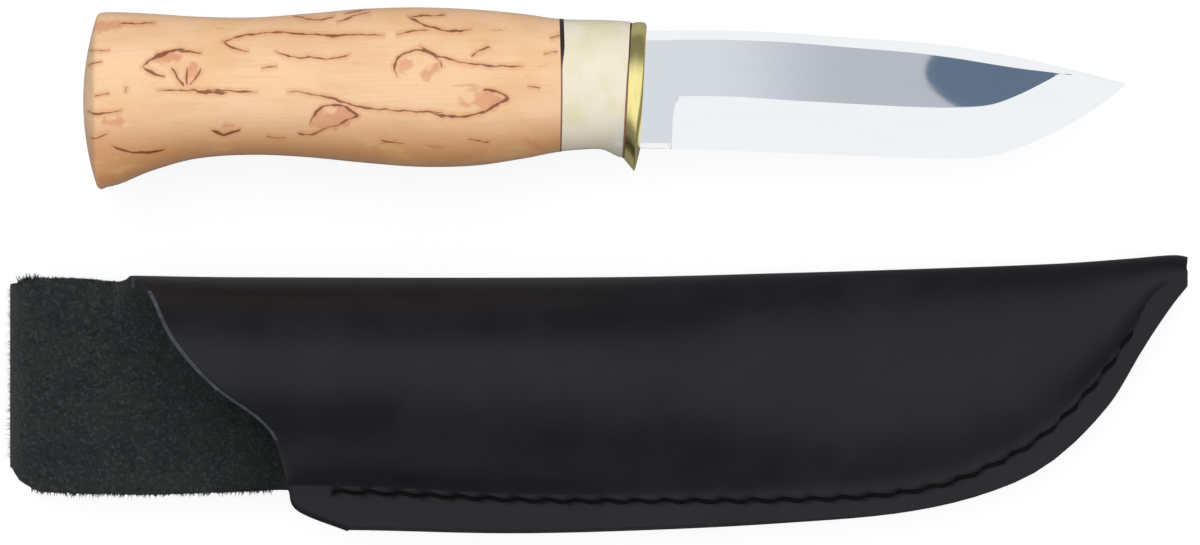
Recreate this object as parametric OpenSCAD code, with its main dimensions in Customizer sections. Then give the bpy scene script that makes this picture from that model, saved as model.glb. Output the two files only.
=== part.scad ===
// Scandinavian whittling knife with a hidden-tang handle, lying beside its folded leather sheath.
// +X runs to the knife's point and the sheath's tip, +Y to the knife's back, +Z up from the table.

/* [Blade] */
// Length of the bare blade, from the guard to the point
blade_len = 91.6; // [70:0.2:110]
// Height of the blade at the guard
blade_h = 22.2; // [18:0.1:25]
// Thickness of the blade
blade_t = 3.0; // [2.4:0.1:3.6]
// Length of the stick tang behind the guard's front face
tang_len = 74; // [40:1:84]
// Height of the tang where it leaves the blade
tang_h = 10.5; // [8:0.1:12]
// Thickness of the tang
tang_t = 2.6; // [2:0.1:3]

/* [Handle] */
// Thickness of the brass guard along the knife
guard_t = 2.8; // [2:0.1:4]
// Depth of the guard's pointed finger lug below the blade's heel
guard_lug = 4.3; // [2:0.1:6]
// Thickness of the black liner behind the guard
liner_t = 0.5; // [0.4:0.1:1.2]
// Length of the antler collar
antler_len = 11.7; // [8:0.1:18]
// Thickness of the fibre spacer behind the antler
spacer_t = 0.9; // [0.6:0.1:2]
// Length of the birch grip
wood_len = 90.4; // [80:0.2:110]
// Greatest height of the grip at its belly
grip_h = 30.3; // [26:0.1:34]
// Greatest thickness of the grip
grip_t = 21.0; // [18:0.1:24]
// Lean of the guard's plane forward at the top, in degrees
guard_lean = 3; // [0:0.5:5]
// Room for glue between the tang and the bored grip, on each side
glue_t = 1.1; // [0.6:0.1:1.4]

/* [Sheath] */
// Length of the sheath with its belt loop
sheath_len = 224; // [210:1:260]
// Height of the sheath at the mouth, from the fold to the stitched edge
sheath_h = 47.8; // [44:0.1:56]
// Thickness of the sheath leather
leather_t = 2.2; // [1.8:0.1:2.4]
// Thickness of the welt between the two stitched edges
welt_t = 2.2; // [1.6:0.1:3]
// Height of the slot in the belt loop
loop_gap = 4.6; // [4.4:0.1:8]
// Length of the belt strap beyond the mouth
strap_len = 23.4; // [18:0.2:34]
// Distance between neighbouring stitches
stitch_pitch = 5.6; // [4:0.1:8]
// Diameter of the waxed thread
thread_d = 0.9; // [0.6:0.1:1.2]

/* [Layout] */
// Space between the grip's lowest corner and the sheath's fold
lay_gap = 16.8; // [10:0.2:40]

/* [Hidden] */

fit = 0.05;                     // clearance between seated pieces
ring_n = 40;                    // points round the grip
lean = tan(guard_lean);

// Places along the knife, measured back from the guard's front face
liner_x = -guard_t;
antler_x = liner_x - liner_t;
spacer_x = antler_x - antler_len;
wood_x = spacer_x - spacer_t;
butt_x = wood_x - wood_len;
grip_len = -butt_x;
butt_edge = 1.4;                // rounding where the sides meet the butt
butt_dome = 2.0;                // rise of the butt's dome

// Tang, its slot and the bore that takes it
tang_y = 0.5;
tang_taper = 0.6;               // height at the tang's end as a share of its start
tang_tip = 4;                   // bevelled end of the tang
slot_h = tang_h + 2 * fit;
slot_t = tang_t + 2 * fit;
bore_h = tang_h + 2 * glue_t;
bore_t = tang_t + 2 * glue_t;
bore_end = -tang_len - 2;
slot_round = 0.1;               // nearly square corners, clear of the tang's own

// Side view of the grip: share of its length behind the guard, then back, belly and half thickness
GRIP = [
    [0.000, 0.420, -0.362, 0.440], [0.060, 0.440, -0.362, 0.448], [0.150, 0.449, -0.384, 0.458],
    [0.210, 0.478, -0.424, 0.474], [0.300, 0.508, -0.470, 0.494], [0.400, 0.521, -0.478, 0.500],
    [0.500, 0.512, -0.452, 0.480], [0.600, 0.482, -0.418, 0.452], [0.700, 0.458, -0.403, 0.438],
    [0.800, 0.464, -0.428, 0.450], [0.880, 0.482, -0.505, 0.474], [0.945, 0.492, -0.596, 0.492],
    [1.000, 0.490, -0.628, 0.496]];

// Blade outline: share of its length, then the heights of back, flat's top, bevel shoulder and edge
BLADE = [
    [0.000, 0.508, 0.455, -0.484, -0.492], [0.040, 0.509, 0.455, -0.486, -0.494],
    [0.050, 0.510, 0.456, -0.300, -0.497], [0.080, 0.512, 0.457, -0.062, -0.502],
    [0.180, 0.510, 0.455, -0.054, -0.514], [0.300, 0.490, 0.434, -0.086, -0.532],
    [0.430, 0.450, 0.390, -0.116, -0.554], [0.570, 0.411, 0.341, -0.144, -0.575],
    [0.650, 0.374, 0.296, -0.148, -0.580], [0.720, 0.328, 0.245, -0.126, -0.558],
    [0.780, 0.282, 0.199, -0.066, -0.486], [0.840, 0.227, 0.160, 0.034, -0.383],
    [0.880, 0.187, 0.137, 0.115, -0.300], [0.930, 0.138, 0.112, 0.100, -0.175],
    [0.970, 0.093, 0.076, 0.070, -0.055], [1.000, 0.060, 0.055, 0.050, 0.042]];
bevel_h = 0.43 * blade_h;       // height of the ground bevel
heel_y = blade_h * BLADE[0][4]; // edge of the blade at the guard
heel = 0.042;                   // share of the blade left at full thickness
seat_lug = 0.42 * guard_lug;    // depth of the lug at the guard's back, where the collar meets it
back_flat = 0.5;                // half width of the flat left along the blade's back
edge_flat = 0.05;               // half thickness left at the cutting edge

// ---- curves and lofts ----

function bracket(p, x, i = 0) = (i >= len(p) - 2 || x <= p[i + 1][0]) ? i : bracket(p, x, i + 1);
function grade(p, c, i) = let (a = max(i - 1, 0), b = min(i + 1, len(p) - 1))
    (p[b][c] - p[a][c]) / (p[b][0] - p[a][0]);
// Smooth value of column c of the stations p at x
function along(p, x, c = 1) = let (
        i = bracket(p, x),
        w = p[i + 1][0] - p[i][0],
        s = min(max((x - p[i][0]) / w, 0), 1))
    p[i][c] * (1 + 2 * s) * pow(1 - s, 2) + p[i + 1][c] * s * s * (3 - 2 * s)
    + w * (grade(p, c, i) * s * pow(1 - s, 2) - grade(p, c, i + 1) * s * s * (1 - s));
function ease(a, b, x) = let (s = min(max((x - a) / (b - a), 0), 1)) s * s * (3 - 2 * s);
function mix(a, b, s) = a + (b - a) * s;
function bow(v, e) = sign(v) * pow(abs(v), e);

// Sides of a loft; a closed one joins its last ring to its first
function skin(n, m, closed = false) = [for (i = [0:m - (closed ? 1 : 2)], k = [0:n - 1])
    [i * n + k, ((i + 1) % m) * n + k, ((i + 1) % m) * n + (k + 1) % n, i * n + (k + 1) % n]];

// Solid through rings that run towards +X, closed at both ends
module loft(rings) {
    n = len(rings[0]);
    m = len(rings);
    caps = [[for (k = [0:n - 1]) k], [for (k = [n - 1:-1:0]) (m - 1) * n + k]];
    polyhedron([for (r = rings) each r], concat(caps, skin(n, m)));
}

// Tube: outer rings towards +X and inner rings back again
module tube_loft(rings) {
    polyhedron([for (r = rings) each r], skin(len(rings[0]), len(rings), true));
}

// Oval ring round the knife; tilt leans it with the guard
function oval(x, top, bot, half, tilt = 0, q = 1, e = 0.94) = [for (k = [0:ring_n - 1])
    let (a = 360 * k / ring_n, y = (top + bot) / 2 + q * (top - bot) / 2 * bow(cos(a), e))
    [x + y * tilt, y, q * half * bow(sin(a), e)]];
function slot(x, h, t, tilt = 0) = oval(x, tang_y + h / 2, tang_y - h / 2, t / 2, tilt, 1, slot_round);
function grip_ring(x, tilt = 0, grow = 0) = let (s = -x / grip_len)
    oval(x, grip_h * along(GRIP, s, 1) + grow, grip_h * along(GRIP, s, 2) - grow,
         grip_t * along(GRIP, s, 3) + grow, tilt);

// ---- knife ----

// The two bevels keep their angle, so the blade thins where they reach its back
function blade_ring(x, back, flat, shoulder, edge, thin, tilt = 0) = let (
        t = blade_t / 2 * min(1, (back - edge) / bevel_h),
        b = min(back_flat, t / 2),
        e = min(thin, t * 0.9),
        m = mix(flat, back, 0.75))
    [for (p = [[back, b], [m, mix(t, b, 0.4)], [flat, t], [shoulder, t], [edge, e],
               [edge, -e], [shoulder, -t], [flat, -t], [m, -mix(t, b, 0.4)], [back, -b]])
    [x + p[0] * tilt, p[0], p[1]]];
function tang_ring(x, h, tilt = 0) = let (b = tang_y - h / 2, t = tang_t / 2) [
    for (p = [[h, t / 2], [h - 0.1, t - 0.15], [h - 0.3, t], [0.3, t], [0, t / 2],
              [0, -t / 2], [0.3, -t], [h - 0.3, -t], [h - 0.1, 0.15 - t], [h, -t / 2]])
    [x + (b + p[0]) * tilt, b + p[0], p[1]]];

module blade() {
    tang = [tang_ring(-tang_len, tang_h * tang_taper / 2),
            for (x = [-tang_len + tang_tip, -tang_len * 0.5]) tang_ring(x, tang_h * mix(tang_taper, 1,
                (tang_len + x) / tang_len)),
            tang_ring(0, tang_h, lean)];
    shares = [0, 0.02, 0.04, for (s = [0.05:0.01:0.09]) s, for (s = [0.12:0.04:0.60]) s,
              for (s = [0.63:0.02:0.99]) s, 1];
    body = [for (s = shares) blade_ring(s * blade_len, blade_h * along(BLADE, s, 1),
                blade_h * along(BLADE, s, 2), blade_h * along(BLADE, s, 3),
                blade_h * along(BLADE, s, 4),
                mix(blade_t / 2 - 0.02, edge_flat, ease(heel, heel + 0.02, s)),
                lean * (1 - ease(0, 0.04, s)))];
    color("gainsboro") loft(concat(tang, body));
}

// Guard outline: share of its thickness from the back, then its top, its lug and its half width
module guard() {
    top = grip_h * GRIP[0][1];
    half = grip_t * GRIP[0][3];
    rims = [[0, 0.05, 0.52, 0.35], [0.29, 0.25, 0.74, 0.55], [0.54, 0.3, 0.93, 0.6], [0.68, 0.25, 1, 0.55],
            [0.82, 0.2, 0.66, 0.5], [0.93, -0.05, 0.28, 0.3], [1, -0.45, 0.05, 0]];
    outer = [for (r = rims) oval(guard_t * (r[0] - 1), top + r[1], heel_y - guard_lug * r[2],
        half + r[3], lean)];
    inner = [for (x = [0, -guard_t]) slot(x, slot_h, slot_t, lean)];
    color("gold") tube_loft(concat(outer, inner));
}

module washer(x, t, grow) {
    outer = [for (s = [x - t, x]) oval(s, grip_h * GRIP[0][1] + grow, heel_y - seat_lug - grow,
        grip_t * GRIP[0][3] + grow, lean)];
    inner = [for (s = [x, x - t]) slot(s, slot_h, slot_t, lean)];
    tube_loft(concat(outer, inner));
}
module guard_liner() color("black") washer(liner_x, liner_t, 0.15);

// The collar follows the grip and flares down into the guard's lug
module antler_collar() {
    outer = [for (s = [0:0.1:1])
        let (x = spacer_x + antler_len * s, f = pow(ease(0.45, 1, s), 2), q = -x / grip_len)
        oval(x, grip_h * along(GRIP, q, 1), mix(grip_h * along(GRIP, q, 2), heel_y - seat_lug, f),
             grip_t * along(GRIP, q, 3), lean * s)];
    inner = [for (s = [1, 0]) slot(spacer_x + antler_len * s, bore_h, bore_t, lean * s)];
    color("ivory") tube_loft(concat(outer, inner));
}

module fibre_spacer() {
    outer = [for (x = [wood_x, spacer_x]) grip_ring(x, 0, 0.05)];
    inner = [for (x = [spacer_x, wood_x]) slot(x, bore_h, bore_t)];
    color("black") tube_loft(concat(outer, inner));
}

// Curly birch, bored from the front for the tang
module birch_grip() {
    end_x = butt_x + butt_edge + butt_dome;
    end = [grip_h * GRIP[len(GRIP) - 1][1], grip_h * GRIP[len(GRIP) - 1][2], grip_t * GRIP[len(GRIP) - 1][3]];
    dome = [for (q = [0.15, 0.35, 0.55, 0.75, 0.88])
        oval(end_x - butt_edge - butt_dome * (1 - q * q), end[0], end[1], end[2], 0, q)];
    rim = [for (a = [90:-15:0]) let (q = 1 - butt_edge * (1 - cos(a)) / grip_h * 2)
        oval(end_x - butt_edge * sin(a) - butt_dome * (1 - q * q), end[0], end[1], end[2], 0, q)];
    steps = 30;
    side = [for (i = [1:steps]) grip_ring(mix(end_x, wood_x, i / steps))];
    bore = [for (x = [wood_x, bore_end]) slot(x, bore_h, bore_t)];
    color("burlywood") loft(concat(dome, rim, side, bore));
}

// Glue that beds the tang in the collar and the grip
module tang_glue() {
    h = bore_h - 2 * fit;
    t = bore_t - 2 * fit;
    front = antler_x - fit;
    outer = [for (x = [bore_end + fit, wood_x, front]) slot(x, h, t, x == front ? lean : 0)];
    gap = 2 * fit;
    inner = [for (x = [front, -tang_len * 0.5, -tang_len + tang_tip, -tang_len - fit])
        let (b = tang_h * mix(tang_taper, 1, (tang_len + min(x, 0)) / tang_len) + gap)
        slot(x, x < -tang_len ? b * 0.6 : b, tang_t + gap, x == front ? lean : 0)];
    color("tan") loft(concat(outer, inner));
}

// ---- sheath ----
// Its own frame: X from the belt loop's end, Y down from the fold at 0, Z up from the table

strap_z = leather_t * 1.5 + loop_gap;       // middle of the leather in the strap
flap_z = leather_t / 2;                     // and in the strap's end, folded back beneath it
loop_r = (strap_z - flap_z) / 2;
loop_x = loop_r + leather_t / 2;
half_seam = (leather_t + welt_t) / 2;       // from the seam's middle to each leather's middle
mouth_x = strap_len;
flap_end = mouth_x + 40;                    // end of the strap, sewn beneath the mouth
flap_rise = 1.3;                            // lift of that end towards the back panel
rise_len = 18;                              // over this length; the rest lies flat on the table
loop_hem = 6;                               // from the strap's edge to its first stitch
seam_end = 12;                              // from the tip back to the last stitch
welt_end = 6;                               // and to the end of the welt
L = sheath_len;

// Stations by share of the way from the mouth to the tip
FOLD_Y = [[0, 0.3], [0.1, 0.0], [0.45, 0.0], [0.62, 0.8], [0.75, 1.6], [0.88, 2.6], [0.95, 3.6],
          [0.975, 4.0], [0.99, 4.1], [1, 3.1]];
// Lower edge of the stitched margin, as a share of the sheath's height
HEM_Y = [[0, 1], [0.2, 0.998], [0.36, 1.012], [0.5, 0.998], [0.62, 0.972], [0.73, 0.932], [0.81, 0.855],
         [0.87, 0.735], [0.925, 0.510], [0.96, 0.270], [0.985, 0.115], [1, 0.036]];
// From the hem in to the stitches, and on to the pocket
STITCH_IN = [[0, 6.7], [0.25, 6.2], [0.5, 4.4], [0.75, 3.4], [0.85, 5.6], [0.93, 7.2], [1, 5.6]];
// Height of the fold and the seam above the table
SEAM_Z = [[0, 13.0], [0.12, 11.6], [0.2, 10.8], [0.32, 10.0], [0.55, 8.4], [0.8, 6.0], [1, 4.8]];
// Swell of the pocket to the front and to the back
SWELL_FRONT = [[0, 20.5], [0.2, 21.3], [0.42, 18], [0.56, 9.5], [0.7, 5.2], [0.85, 4.0], [0.93, 2.4], [1, 0]];
SWELL_BACK = [[0, 8], [0.2, 8.4], [0.3, 8.6], [0.42, 7.8], [0.56, 5.2], [0.7, 3.8], [0.85, 3.2],
              [0.93, 2.2], [1, 0]];
// Mouth of the front panel: share of the height, then how far behind the fold's corner it starts
MOUTH = [[0, 0], [0.045, 3.0], [0.24, 7.4], [0.41, 13.6], [0.52, 20.3], [0.60, 25.0], [0.725, 27.8],
         [0.86, 29.8], [0.92, 31.0], [1, 40.1]];
// Free edges of the strap by distance from the loop's end
STRAP_TOP = [[0, 1.9], [2, 0.7], [5, 0.3], [10, 0.2], [18, 0.8], [23, 1.2]];
STRAP_LOW = [[0, 36.4], [1, 38.4], [3, 40.2], [6, 41.0], [23, 41.4], [40, 41.0], [52.4, 40.7], [53.4, 41.4],
             [54.4, 44.0], [63.5, 47.8]];
nose = 14;                                   // steps round the pocket on each side of the fold
hem = 3;                                     // steps across the stitched margin
J = nose + hem;
M = 2 * J;
rows = 46;
full = 0.3;                                  // smaller keeps the pocket fuller towards the hem

function share(x) = (x - mouth_x) / (L - mouth_x);
function fold_y(x) = along(FOLD_Y, share(x)) - leather_t / 2;
function hem_y(x) = -sheath_h * along(HEM_Y, share(x));
function seam_z(x) = along(SEAM_Z, share(x));
function stitch_y(x) = hem_y(x) + along(STITCH_IN, share(x)) * min(1, (fold_y(x) - hem_y(x)) / 14);
function pocket_y(x) = min(fold_y(x) - 0.8, stitch_y(x) + 2.6);
hem_from = mouth_x + MOUTH[len(MOUTH) - 1][1];   // where the front hem starts
function back_low(x) = x < hem_from ? -along(STRAP_LOW, x) : hem_y(x);
// How far the back panel is still flat like the strap, and whether its edge is sewn to the seam
function flat_back(x) = 1 - ease(mouth_x + 38, mouth_x + 70, x);
function sewn(x) = ease(mouth_x + 27, mouth_x + 36, x);
function back_floor(x) = mix(strap_z, leather_t * 1.5 + 0.9, ease(mouth_x + 12, mouth_x + 35, x));

// One point of the leather's middle layer; w runs 0 at the front hem, J at the fold, M at the back hem
function tear(a) = sin(a) * pow((1 + cos(a)) / 2, full);
function skin_yz(x, w) = let (
        front = w <= J,
        d = abs(w - J),
        a = 180 * min(d, nose) / nose,
        y0 = fold_y(x),
        y1 = pocket_y(x),
        y2 = front ? hem_y(x) : back_low(x),
        yp = front ? y1 : mix(y2 + 0.01, y1, sewn(x)),
        y = d <= nose ? mix(y0, yp, (1 - cos(a)) / 2) : mix(yp, y2, (d - nose) / hem),
        base = half_seam * sin(a / 2),
        pouch = base + (front ? along(SWELL_FRONT, share(x)) : along(SWELL_BACK, share(x))) * tear(a),
        drop = seam_z(x) - back_floor(x),
        plain = drop * sin(min(90, 1.5 * a)) * (1 - ease(110, 180, a)) + ease(110, 180, a)
            * mix(drop, half_seam, sewn(x)))
    [y, seam_z(x) + (front ? pouch : -mix(pouch, plain, flat_back(x)))];

function unit(v) = v / norm(v);
// Leather surface at a place: side is 1 for the grain side and -1 for the flesh side
function skin_point(x, w, side) = let (
        p = skin_yz(x, w),
        t = unit(skin_yz(x, min(w + 0.02, M)) - skin_yz(x, max(w - 0.02, 0))),
        q = p + side * leather_t / 2 * [-t[1], t[0]])
    [x, q[0], q[1]];

// The front panel's rows start on the curved mouth, the back panel's on a straight line across
function row_x(i, w) = let (
        s = pow(i / rows, 0.92),
        v = w >= J ? 0 : min(1, (fold_y(mouth_x + 30) - skin_yz(mouth_x + 30, w)[0]) / sheath_h * 1.02))
    mix(L, mouth_x + along(MOUTH, v), s);

// Strap: from the mouth to the loop's end, round it, and back under to where it is sewn
bend = 8;
run = 6;
back_run = 9;
strap_rows = run + bend + back_run;
function strap_path(i) = i <= run ? [mix(mouth_x, loop_x, i / run), strap_z, 0]
    : i <= run + bend ? let (a = 180 * (i - run) / bend)
        [loop_x - loop_r * sin(a), flap_z + loop_r * (1 + cos(a)), a]
    : let (x = mix(flap_end - rise_len, flap_end, (i - run - bend - 1) / (back_run - 1)))
        [x, flap_z + flap_rise * ease(0, rise_len * 0.7, x - flap_end + rise_len), 180];
function strap_point(i, w, side) = let (
        p = strap_path(i),
        under = i > run + bend,
        taper = under ? 1.6 * ease(loop_x, flap_end, p[0]) : 0,
        y0 = -along(STRAP_TOP, under ? loop_x - loop_r : p[0] - leather_t / 2) - taper,
        y1 = -along(STRAP_LOW, under ? loop_x - loop_r : p[0] - leather_t / 2) + taper,
        y = mix(y0, y1, (w - J) / J),
        s = -side * leather_t / 2)
    [p[0] - s * sin(p[2]), y, p[1] + s * cos(p[2])];

// Vertex numbers of the sheet: rows 0 to rows go all round, the strap's rows only from the fold down
wide = M + 1;
narrow = J + 1;
base_n = (rows + 1) * wide;
sheet_n = base_n + strap_rows * narrow;
function at(i, w) = i <= rows ? i * wide + w : base_n + (i - rows - 1) * narrow + (w - J);
last = rows + strap_rows;
sheet = [for (side = [1, -1]) each concat(
    [for (i = [0:rows], w = [0:M]) skin_point(row_x(i, w), w, side)],
    [for (i = [1:strap_rows], w = [J:M]) strap_point(i, w, side)])];
rim = concat([for (w = [0:M]) at(0, w)], [for (i = [1:last]) at(i, M)], [for (w = [M - 1:-1:J]) at(last, w)],
    [for (i = [last - 1:-1:rows]) at(i, J)], [for (w = [J - 1:-1:0]) at(rows, w)],
    [for (i = [rows - 1:-1:1]) at(i, 0)]);

// One blank of leather: front panel, fold, back panel and the strap turned back as a belt loop
module sheath_leather() {
    cells = [for (i = [0:last - 1], w = [(i < rows ? 0 : J):M - 1]) [at(i, w), at(i + 1, w), at(i + 1, w + 1),
        at(i, w + 1)]];
    grain = [for (c = cells) each [[c[0], c[1], c[2]], [c[0], c[2], c[3]]]];
    flesh = [for (f = grain) [f[2] + sheet_n, f[1] + sheet_n, f[0] + sheet_n]];
    n = len(rim);
    edge = [for (k = [0:n - 1]) let (a = rim[k], b = rim[(k + 1) % n])
        each [[a, b, b + sheet_n], [a, b + sheet_n, a + sheet_n]]];
    color("#303036") polyhedron(sheet, concat(grain, flesh, edge));
}

// Strip of leather between the two hems
module sheath_welt() {
    x0 = hem_from + 0.9;
    x1 = L - welt_end;
    n = 40;
    z = welt_t / 2 - fit;
    rings = [for (i = [0:n]) let (x = mix(x0, x1, i / n), m = seam_z(x), lo = hem_y(x) + 0.1,
                                  hi = max(lo + 0.6, pocket_y(x) - 0.3))
        [[x, hi, m - z], [x, hi, m + z], [x, lo, m + z], [x, lo, m - z]]];
    color("dimgray") loft(rings);
}

// Stitches along the hem, on the front or on the back; each lies on the leather between two holes
seam_from = hem_from - 1.6;
seam_to = L - seam_end;
function seam_step(x) = stitch_pitch / sqrt(1 + pow((stitch_y(x + 0.5) - stitch_y(x - 0.5)), 2));
function seam_holes(x) = x > seam_to ? [] : concat([x], seam_holes(x + seam_step(x)));
holes = seam_holes(seam_from);
module stitch(p, q) {
    d = q - p;
    l = norm(d);
    translate(p + d * 0.1) rotate([0, acos(d[2] / l), atan2(d[1], d[0])])
        cylinder(d = thread_d, h = l * 0.8, $fn = 24);
}
module seam(side) {
    z = half_seam + leather_t / 2 + thread_d / 2 + fit;
    for (i = [0:len(holes) - 2]) {
        a = holes[i];
        b = holes[i + 1];
        stitch([a, stitch_y(a), seam_z(a) + side * z], [b, stitch_y(b), seam_z(b) + side * z]);
    }
}
module seam_thread_front() color("black") seam(1);
module seam_thread_back() color("black") seam(-1);

// Stitches that hold the strap's end to the back panel
module loop_thread() {
    x = flap_end - 3;
    z = flap_z + flap_rise - leather_t / 2 - thread_d / 2 - fit;
    n = floor((along(STRAP_LOW, 0) - 2 * loop_hem) / stitch_pitch);
    color("black") for (i = [0:n - 1])
        stitch([x, -loop_hem - i * stitch_pitch, z], [x, -loop_hem - (i + 1) * stitch_pitch, z]);
}

// ---- layout on the table, centred on the origin ----

grip_top = grip_h * max([for (g = GRIP) g[1]]);
grip_low = -grip_h * min([for (g = GRIP) g[2]]);
knife_z = grip_t * max([for (g = GRIP) g[3]]);
deep = grip_top + grip_low + lay_gap + sheath_h * max([for (h = HEM_Y) h[1]]);
point_back = 12;                // the knife's point lies this far behind the sheath's tip
knife_at = [sheath_len / 2 - point_back - blade_len, deep / 2 - grip_top, knife_z];
sheath_at = [-sheath_len / 2, deep / 2 - grip_top - grip_low - lay_gap, 0];

translate(knife_at) blade();
translate(knife_at) guard();
translate(knife_at) guard_liner();
translate(knife_at) antler_collar();
translate(knife_at) fibre_spacer();
translate(knife_at) birch_grip();
translate(knife_at) tang_glue();
translate(sheath_at) sheath_leather();
translate(sheath_at) sheath_welt();
translate(sheath_at) seam_thread_front();
translate(sheath_at) seam_thread_back();
translate(sheath_at) loop_thread();
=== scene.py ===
from math import atan2, cos, exp, floor, hypot, pi, radians, sin, tan
from random import Random

import bmesh
import bpy
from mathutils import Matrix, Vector


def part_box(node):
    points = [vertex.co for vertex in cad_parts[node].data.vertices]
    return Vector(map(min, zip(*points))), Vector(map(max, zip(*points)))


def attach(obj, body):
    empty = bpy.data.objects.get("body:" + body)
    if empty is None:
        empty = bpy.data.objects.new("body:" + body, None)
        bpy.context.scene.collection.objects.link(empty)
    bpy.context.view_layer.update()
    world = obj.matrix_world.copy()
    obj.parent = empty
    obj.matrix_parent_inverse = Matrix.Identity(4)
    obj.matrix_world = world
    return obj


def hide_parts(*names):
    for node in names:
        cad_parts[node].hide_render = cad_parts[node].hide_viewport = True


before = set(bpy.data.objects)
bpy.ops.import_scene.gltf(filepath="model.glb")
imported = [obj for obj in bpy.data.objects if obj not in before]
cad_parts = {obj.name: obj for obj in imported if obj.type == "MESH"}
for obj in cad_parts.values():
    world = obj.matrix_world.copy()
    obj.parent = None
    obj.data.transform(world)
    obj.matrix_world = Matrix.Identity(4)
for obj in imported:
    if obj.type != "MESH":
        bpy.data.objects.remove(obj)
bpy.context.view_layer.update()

scene = bpy.context.scene
MM = 0.001

# ---- Table, light and camera ----
# The knife and its sheath lie on a white table under a large soft light.
# The camera hangs straight above them, far enough back that little perspective shows.


def paint(red, green, blue):
    """Colour written as on a paint card, 0 to 255, turned into light values."""
    return tuple((c / 255 / 12.92 if c <= 10 else ((c / 255 + 0.055) / 1.055) ** 2.4)
                 for c in (red, green, blue)) + (1.0,)


class Wire:
    """An output in a node tree. Arithmetic on it adds Math nodes, and node() adds any other node."""

    def __init__(self, tree, out=None):
        self.tree, self.out = tree, out

    def node(self, kind, settings=(), inputs=(), out=0):
        made = self.tree.nodes.new("ShaderNode" + kind)
        for name, value in dict(settings).items():
            setattr(made, name, value)
        for name, value in dict(inputs).items():
            if isinstance(value, Wire):
                self.tree.links.new(value.out, made.inputs[name])
            else:
                made.inputs[name].default_value = value
        return Wire(self.tree, made.outputs[out])

    def math(self, operation, *others):
        return self.node("Math", {"operation": operation}, dict(enumerate((self, *others))))

    def axis(self, letter):
        """One coordinate of a place or a direction."""
        return self.node("SeparateXYZ", {}, {"Vector": self}, letter)

    def rise(self, low, high, top=1.0):
        """0 below low, top above high, and a smooth slope between."""
        return self.node("MapRange", {"interpolation_type": "SMOOTHSTEP"},
                         {"Value": self, "From Min": low, "From Max": high, "To Max": top})

    def mix(self, other, share):
        """This colour turned towards another by a share."""
        return self.node("Mix", {"data_type": "RGBA"}, {0: share, 6: self, 7: other}, 2)

    def colour(self, value):
        made = self.node("RGB")
        made.out.default_value = value
        return made

    def __add__(self, other):
        return self.math("ADD", other)

    def __radd__(self, other):
        return self.math("ADD", other)

    def __sub__(self, other):
        return self.math("SUBTRACT", other)

    def __rsub__(self, other):
        return self.node("Math", {"operation": "SUBTRACT"}, {0: other, 1: self})

    def __mul__(self, other):
        return self.math("MULTIPLY", other)

    def __rmul__(self, other):
        return self.math("MULTIPLY", other)

    def __abs__(self):
        return self.math("ABSOLUTE")


def link_surface(tree, shader, output="OutputMaterial"):
    end = tree.nodes.new("ShaderNode" + output)
    tree.links.new(shader.out, end.inputs["Surface"])


def empty_tree(owner):
    owner.use_nodes = True
    owner.node_tree.nodes.clear()
    return Wire(owner.node_tree)


TABLE_REACH = 1.6               # metres from the middle to each side
white_table = bpy.data.materials.new("white_table")
draw = empty_tree(white_table)
seen = draw.node("LightPath", out="Is Camera Ray")
lit_paper = draw.node("BsdfDiffuse", {}, {"Color": (0.34, 0.34, 0.345, 1)})
soft_shadow = draw.node("BsdfDiffuse", {}, {"Color": (0.22, 0.22, 0.225, 1)})
glow = draw.node("Emission", {}, {"Color": (1, 1, 1, 1), "Strength": 0.84})
bright_paper = draw.node("AddShader", {}, {0: soft_shadow, 1: glow})
link_surface(white_table.node_tree,
             draw.node("MixShader", {}, {0: seen, 1: lit_paper, 2: bright_paper}))

bm = bmesh.new()
bmesh.ops.create_grid(bm, x_segments=2, y_segments=2, size=TABLE_REACH)
table_mesh = bpy.data.meshes.new("table")
bm.to_mesh(table_mesh)
bm.free()
table = bpy.data.objects.new("table", table_mesh)
table_mesh.materials.append(white_table)
scene.collection.objects.link(table)

# A white room that darkens towards its sides. Its ceiling has a soft grey-blue middle and a
# darker card with a bowed edge, both seen only as reflections in the polished steel and brass.
BOW_MIDDLE, CARD_BOW = 0.0318, 160
world = bpy.data.worlds.new("white_room")
scene.world = world
draw = empty_tree(world)
towards = draw.node("TexCoord", out="Generated")
slope = towards.axis("Z").math("MAXIMUM", 0.05)
side_x = towards.axis("X").math("DIVIDE", slope)
side_y = towards.axis("Y").math("DIVIDE", slope)
away = (side_x * side_x + side_y * side_y).math("SQRT")
falls_off = (side_x * side_x * 0.16 + side_y * side_y).math("SQRT")
middle = 1 - away.rise(0.09, 0.125)
card_edge = side_x - (side_y - BOW_MIDDLE) * (side_y - BOW_MIDDLE) * CARD_BOW
card = (card_edge.rise(0.0512, 0.0518) * (1 - side_x.rise(0.10, 0.12))
        * (1 - abs(side_y - 0.034).rise(0.05, 0.06)))
ceiling = draw.colour((0.97, 0.97, 0.975, 1)).mix(draw.colour((0.74, 0.76, 0.80, 1)), middle)
ceiling = ceiling.mix(draw.colour((0.475, 0.50, 0.54, 1)), middle * side_x.rise(0.016, 0.040, 0.85))
ceiling = ceiling.mix(draw.colour((0.13, 0.18, 0.255, 1)), card)
ceiling = ceiling.mix(draw.colour((0.18, 0.18, 0.19, 1)), falls_off.rise(0.36, 1.0))
room_seen = draw.node("LightPath", out="Is Camera Ray")
room_mirrored = draw.node("LightPath", out="Is Glossy Ray")
overhead = draw.colour((0.98, 0.98, 0.98, 1)).mix(draw.colour((0.60, 0.60, 0.61, 1)),
                                                  falls_off.rise(0.4, 2.2))
plain = draw.node("Background", {}, {"Color": overhead, "Strength": 1.0})
reflected = draw.node("Background", {}, {"Color": ceiling, "Strength": 1.0})
backdrop = draw.node("Background", {}, {"Color": (1, 1, 1, 1), "Strength": 1.0})
room = draw.node("MixShader", {}, {0: room_mirrored, 1: plain, 2: reflected})
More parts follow.
